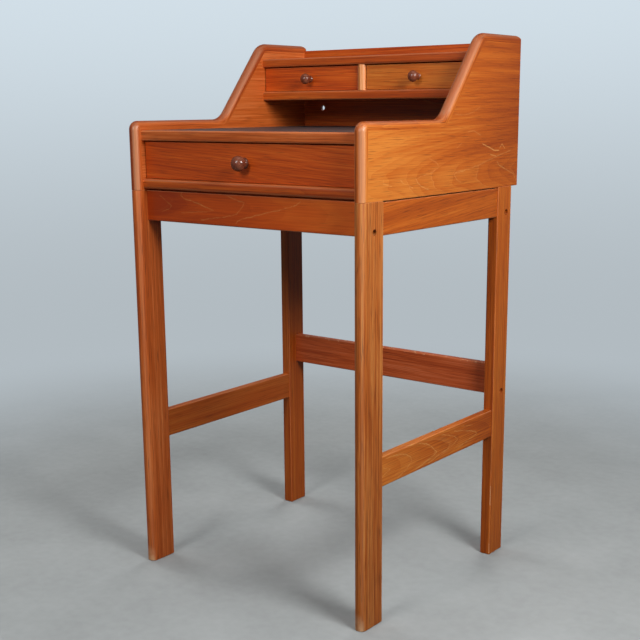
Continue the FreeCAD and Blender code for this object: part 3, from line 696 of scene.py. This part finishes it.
def wood(node, kind, heart, figure=0.4, share=0.1, streak=0.7, pores=1.0, slant=0.0, level=0.5,
         drift=(0.0, 0.0), wear_and_highlight=None, lines=None, nose=0.0, rub=0.22, along=None, course=board_coordinates,
         **log):
    """One board: shade to colour, then ring lines, pores, worn edges and its own marks over it.

    figure is how strongly ring lines show and share how wide, streak is for the fibres, pores for how
    open it is, slant is the angle of the grain to the edges, drift is how much paler the board turns
    from end to end and from edge to edge, nose is how much darker its narrow sides are, rub is how bare
    its rounded edges are, and course lays the grain.
    """
    traits = WOODS[kind]
    material, tree = new_material(kind + "_" + node)
    order = board_axes(node, along)[1]
    low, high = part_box(node)
    board = course(tree, node, along)
    if slant:
        board = add(tree, "Mapping", {"Vector": board, "Rotation": (0.0, 0.0, slant)})[0]
    layers = wood_layers(tree, board, **log)
    layers |= masks_by_normal(tree, int(order[0]), int(order[2]))
    size = METRE * np.array(high - low)[order]
    shade = shading(tree, layers, streak, figure, level, drift, size, nose)
    tint = np.array(linear(heart))
    deep = np.append(tint[:3] * traits["deep"], 1.0)
    pale = np.append(np.minimum(tint[:3] * traits["pale"], 1.0), 1.0)
    colour = add(tree, "ValToRGB", {0: shade}, stops=((0.0, deep), (1.0, pale), (0.5, tint)))[0]
    line = ring_lines(tree, layers, figure, share)
    if lines is not None:
        drawn = lines(tree, add(tree, "TexCoord")["Object"])
        line = add(tree, "Math", {0: line, 1: drawn}, operation="MAXIMUM")[0]
    pore = add(tree, "MapRange", {
        0: layers["pore"], 1: PORE_SPAN[0], 2: PORE_SPAN[1], 4: pores * traits["pores"],
    })[0]
    # Worn edges and the board's own marks mix in the bare colour; on the lipping noses that mark is partly
    # a painted highlight.
    worn = add(tree, "Math", {0: layers["edge"], 1: layers["pore"]}, operation="MULTIPLY")[0]
    worn = add(tree, "Math", {0: worn, 1: rub / NOISE_MEAN}, operation="MULTIPLY")[0]
    if wear_and_highlight is not None:
        mark = wear_and_highlight(tree, add(tree, "TexCoord")["Object"])
        worn = add(tree, "Math", {0: worn, 1: mark}, operation="MAXIMUM")[0]
    for mask, over in ((line, traits["line"]), (pore, traits["pore"]), (worn, traits["bare"])):
        colour = add(tree, "Mix", {0: mask, 6: colour, 7: linear(over)}, data_type="RGBA")[2]
    rough = add(tree, "MapRange", {
        0: layers["fine"], 1: NOISE_SPAN[0], 2: NOISE_SPAN[1],
        3: traits["rough"] - ROUGH_SPREAD, 4: traits["rough"] + ROUGH_SPREAD,
    })[0]
    relief = add(tree, "Math", {0: layers["fine"], 1: pore}, operation="SUBTRACT")[0]
    bump = add(tree, "Bump", {
        "Height": relief, "Strength": traits["relief"], "Distance": RELIEF_MM / METRE,
    })[0]
    shader = add(tree, "BsdfPrincipled", {
        "Base Color": colour, "Roughness": rough, "IOR": traits["ior"], "Normal": bump,
    })
    add(tree, "OutputMaterial", {0: shader[0]})
    dress(node, material)


print("the relief of the grain is at most", RELIEF_MM, "mm")

# %% [markdown]
# The solid lippings of the side panels follow the panels round their corners, and so does their grain.
# Straight grain would run out through the noses on the slopes. So its course is the depth behind the
# edge: behind the front or the top edge, whichever is nearer, and in the middle behind the arm or the
# slope, whichever is deeper.

# %% The course of a lipping
ARM_TOP_MM = 961.0
SLOPE_FOOT_MM = 266.0
SLOPE_RISE_MM = (137.0, 167.0)


def edge_coordinates(tree, node, along):
    """Along the edge, in from the edge and through the panel, in millimetres.

    The edge sets the course, so the axis along is not used.
    """
    low, high = (METRE * np.array(corner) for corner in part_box(node))
    axes = add(tree, "SeparateXYZ", {0: add(tree, "TexCoord")["Object"]})
    x, y, z = (add(tree, "Math", {0: axes[i], 1: METRE}, operation="MULTIPLY")[0] for i in range(3))
    run, rise = np.array(SLOPE_RISE_MM) / math.hypot(*SLOPE_RISE_MM)
    foot = (low[1] + SLOPE_FOOT_MM) * rise - ARM_TOP_MM * run
    front = add(tree, "Math", {0: y, 1: low[1]}, operation="SUBTRACT")[0]
    top = add(tree, "Math", {0: high[2], 1: z}, operation="SUBTRACT")[0]
    arm = add(tree, "Math", {0: ARM_TOP_MM, 1: z}, operation="SUBTRACT")[0]
    slope = add(tree, "Math", {0: y, 1: rise, 2: -foot}, operation="MULTIPLY_ADD")[0]
    slope = add(tree, "Math", {0: z, 1: -run, 2: slope}, operation="MULTIPLY_ADD")[0]
    depth = add(tree, "Math", {0: arm, 1: slope}, operation="MAXIMUM")[0]
    depth = add(tree, "Math", {0: depth, 1: front}, operation="MINIMUM")[0]
    depth = add(tree, "Math", {0: depth, 1: top}, operation="MINIMUM")[0]
    course = add(tree, "Math", {0: y, 1: z}, operation="ADD")[0]
    return add(tree, "CombineXYZ", {0: course, 1: depth, 2: x})[0]


print("the slope rises", round(math.degrees(math.atan2(SLOPE_RISE_MM[1], SLOPE_RISE_MM[0])), 1), "degrees")

# %% [markdown]
# ## The teak boards
# No two boards of the desk came from the same place in the tree. The right panel and its neighbours are
# orange, the left one is rust, the front apron and two of the drawer fronts are copper red, the right
# front leg is amber and the divider golden. One wood for all would be simpler, and would look cast in
# one piece. Boards with a pith close under the face show arches: the right panel, the front apron and
# the right stretcher.

# %% Saw the boards
TEAK = {
    "orange": "#BF5D15",
    "amber": "#B45D1E",
    "golden": "#DC8340",
    "rust": "#C25C20",
    "copper": "#C8500C",
    "russet": "#B54C0C",
    "chestnut": "#B05012",
    "red": "#B95324",
}
BOARDS = {
    "right_side_panel": dict(
        tone="orange", ring=6.0, pith=(-115.0, -58.0), lean=(0.0, -0.1), figure=0.35, streak=0.42,
        level=0.56, drift=(-0.68, -0.2), lines=panel_lines),
    "left_side_panel": dict(
        tone="rust", ring=7.0, pith=(-60.0, 80.0), lean=(0.0, 0.04), streak=0.6, level=0.57),
    "right_side_lipping": dict(
        tone="orange", course=edge_coordinates, pith=(90.0, 110.0), level=1.5, drift=(-0.62, 0.0),
        nose=0.62, rub=0.14, wear_and_highlight=polished_nose_and_highlight),
    "left_side_lipping": dict(
        tone="rust", course=edge_coordinates, pith=(90.0, -110.0), level=0.8, drift=(-0.3, 0.0),
        nose=0.62, rub=0.14, wear_and_highlight=polished_nose_and_highlight),
    "front_right_leg": dict(
        tone="amber", ring=9.0, pith=(120.0, 80.0), lean=(0.01, 0.0), streak=1.1, pores=1.9, level=0.6,
        rub=0.12, wear_and_highlight=worn_foot),
    "front_left_leg": dict(
        tone="rust", ring=9.0, pith=(-110.0, 90.0), lean=(0.01, 0.0), pores=1.3, rub=0.12, wear_and_highlight=worn_foot),
    "rear_right_leg": dict(
        tone="orange", ring=8.0, pith=(100.0, 80.0), lean=(0.01, 0.01), level=0.55, nose=0.3, rub=0.12,
        wear_and_highlight=rubbed_corner),
    "rear_left_leg": dict(
        tone="chestnut", ring=8.0, pith=(-100.0, 80.0), lean=(0.01, 0.01), level=0.55, rub=0.12),
    "front_apron": dict(
        tone="copper", ring=9.5, pith=(4.0, 45.0), lean=(0.0, -0.1), figure=0.15, streak=0.32, pores=0.6,
        level=0.45, drift=(0.6, 0.0), lines=apron_lines),
    "rear_apron": dict(tone="chestnut"),
    "right_side_apron": dict(
        tone="orange", ring=6.0, pith=(150.0, 120.0), lean=(0.03, 0.0), level=0.37, streak=0.45, pores=1.5,
        slant=-0.1),
    "left_side_apron": dict(tone="chestnut", pith=(140.0, 120.0)),
    "right_side_stretcher": dict(
        tone="orange", ring=7.5, pith=(0.0, -46.0), lean=(0.0, 0.1), figure=0.35, share=0.25, level=0.53,
        drift=(-0.45, 0.0), lines=stretcher_lines),
    "left_side_stretcher": dict(tone="chestnut", pith=(120.0, 60.0), streak=0.5, level=0.62),
    "rear_stretcher": dict(tone="red", pith=(60.0, 90.0), level=0.45, wear_and_highlight=chipped_top),
    "case_bottom_board": dict(tone="russet"),
    "writing_board": dict(tone="chestnut"),
    "writing_board_lipping": dict(tone="rust", pith=(90.0, 110.0)),
    "small_drawer_shelf": dict(tone="russet"),
    "top_board": dict(tone="russet", level=0.45),
    "drawer_divider": dict(tone="golden", along=2),
    "back_panel": dict(tone="russet", pith=(40.0, 90.0)),
    "main_drawer_front": dict(
        tone="copper", ring=5.0, pith=(130.0, 90.0), lean=(0.03, 0.03), streak=0.6, slant=0.05,
        level=0.46, drift=(0.2, 0.0)),
    "left_small_drawer_front": dict(tone="copper", pith=(70.0, 90.0), lean=(0.04, 0.03), level=0.43),
    "right_small_drawer_front": dict(tone="orange", pith=(60.0, 110.0), level=0.7),
}
SEED_STEP = 11.0

for i, (node, board) in enumerate(BOARDS.items()):
    settings = {name: value for name, value in board.items() if name != "tone"}
    wood(node, "oiled_teak", TEAK[board["tone"]], seed=SEED_STEP * i, **settings)
print("boards in teak:", len(BOARDS))

# %% [markdown]
# ## The drawer boxes and the dowels
# Behind the teak fronts the drawers are plain joinery: beech sides and backs, dovetailed and left
# bare, with bottoms of thin birch plywood. The dowels in the joints are beech too. A plain colour would
# nearly do for them, but the recipe is there, and the dovetails show best by their end grain.

# %% Make the drawer boxes
DRAWERS = ("main_drawer", "left_small_drawer", "right_small_drawer")
BEECH = "#C99A68"
BIRCH = "#D6B98C"
SIDE_SEEDS = (300.0, 7.0, 2.3)    # the first, the step per drawer and the step per side
BOTTOM_SEEDS = (340.0, 5.0)
DOWELS = {"leg_dowels": (2, 360.0), "rail_dowels": (0, 369.0)}    # the axis they lie along, seed

for i, drawer in enumerate(DRAWERS):
    for j, side in enumerate(("left_side", "right_side", "back")):
        seed = SIDE_SEEDS[0] + SIDE_SEEDS[1] * i + SIDE_SEEDS[2] * j
        wood(f"{drawer}_{side}", "bare_beech", BEECH, figure=0.25, streak=0.4, seed=seed)
    wood(f"{drawer}_bottom", "birch_plywood", BIRCH, figure=0.3, streak=0.4, ring=14.0, pith=(0.0, 60.0),
         lean=(0.02, 0.08), seed=BOTTOM_SEEDS[0] + BOTTOM_SEEDS[1] * i)
for dowels, (axis, seed) in DOWELS.items():
    wood(dowels, "bare_beech", BEECH, figure=0.2, streak=0.4, along=axis, seed=seed)
print("drawer boxes:", len(DRAWERS))

# %% [markdown]
# ## The knobs
# The knobs are turned from a darker, redder wood than the desk and lacquered, so each one carries a
# small sharp picture of the lamps. A dark plastic would look much the same from afar, but the streaks
# show close by. The grain runs through the knob from front to back.

# %% Turn the knobs
ROSEWOOD = "#6E3624"
KNOB_SEEDS = (400.0, 13.0)

for i, drawer in enumerate(DRAWERS):
    wood(f"{drawer}_knob", "lacquered_rosewood", ROSEWOOD, figure=0.3, ring=3.0, pith=(14.0, 6.0), along=1,
         seed=KNOB_SEEDS[0] + KNOB_SEEDS[1] * i)
print("knobs:", len(DRAWERS))

# %% [markdown]
# ## The writing surface
# The inlay is linoleum: linseed oil and cork on a jute back, dark grey and faintly marbled because the
# colours are rolled together. It is dull but not matt, and shows a broad sheen at a low angle. One grey
# with an even roughness would look like plastic, so both follow the marbling.

# %% Lay the linoleum
LINO_DARK = "#3A3232"
LINO_LIGHT = "#4D4343"
LINO_STREAK_MM = (60.0, 9.0)
LINO_GRIT_MM = 2.2
LINO_GRIT_SHARE = 0.4
LINO_ROUGHNESS = (0.37, 0.5)
LINO_RELIEF = 0.15
LINO_RELIEF_MM = 0.3
LINO_IOR = 1.5

lino, tree = new_material("rolled_linoleum")
place = add(tree, "TexCoord")["Object"]
drawn = tuple(METRE / LINO_STREAK_MM[axis] for axis in (0, 1, 1))
rolled = add(tree, "VectorMath", {0: place, 1: drawn}, operation="MULTIPLY")[0]
marble = add(tree, "TexNoise", {"Vector": rolled, "Scale": 1.0, "Detail": 4.0, "Distortion": 0.8})[0]
grit = add(tree, "TexNoise", {"Vector": place, "Scale": METRE / LINO_GRIT_MM, "Detail": 1.0})[0]
shade = add(tree, "Mix", {0: LINO_GRIT_SHARE, 2: marble, 3: grit})[0]
colour = add(tree, "ValToRGB", {0: shade}, stops=(
    (NOISE_SPAN[0], linear(LINO_DARK)), (NOISE_SPAN[1], linear(LINO_LIGHT)),
))[0]
rough = add(tree, "MapRange", {
    0: marble, 1: NOISE_SPAN[0], 2: NOISE_SPAN[1], 3: LINO_ROUGHNESS[0], 4: LINO_ROUGHNESS[1],
})[0]
bump = add(tree, "Bump", {
    "Height": grit, "Strength": LINO_RELIEF, "Distance": LINO_RELIEF_MM / METRE,
})[0]
shader = add(tree, "BsdfPrincipled", {
    "Base Color": colour, "Roughness": rough, "IOR": LINO_IOR, "Normal": bump,
})
add(tree, "OutputMaterial", {0: shader[0]})
dress("writing_inlay", lino)
print("linoleum:", LINO_DARK, "to", LINO_LIGHT)

# %% [markdown]
# ## Bolts, nuts and screws
# The frame is drawn together by bolts that sit deep in their holes, with barrel nuts in the rails. All
# of the hardware is zinc-plated steel: grey, a little cloudy where the plating has dulled. Each kind
# could have a steel of its own, but they came out of the same bath, so one serves all.

# %% Plate the hardware
ZINC_BRIGHT = "#96999B"
ZINC_DULL = "#5F5F5E"
ZINC_CLOUD_MM = 3.0
ZINC_SPAN = (0.35, 0.6)
ZINC_ROUGHNESS = (0.5, 0.28)
HARDWARE = ["frame_bolts", "barrel_nuts", "back_panel_screws"]
HARDWARE += [f"{drawer}_knob_screw" for drawer in DRAWERS]

zinc, tree = new_material("zinc_plated_steel")
place = add(tree, "TexCoord")["Object"]
cloud = add(tree, "TexNoise", {"Vector": place, "Scale": METRE / ZINC_CLOUD_MM, "Detail": 3.0})[0]
colour = add(tree, "ValToRGB", {0: cloud}, stops=(
    (ZINC_SPAN[0], linear(ZINC_DULL)), (ZINC_SPAN[1], linear(ZINC_BRIGHT)),
))[0]
rough = add(tree, "MapRange", {
    0: cloud, 1: ZINC_SPAN[0], 2: ZINC_SPAN[1], 3: ZINC_ROUGHNESS[0], 4: ZINC_ROUGHNESS[1],
})[0]
shader = add(tree, "BsdfPrincipled", {"Base Color": colour, "Roughness": rough, "Metallic": 1.0})
add(tree, "OutputMaterial", {0: shader[0]})
for node in HARDWARE:
    dress(node, zinc)
print("pieces with a material of their own:", len(dressed), "of", len(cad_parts))
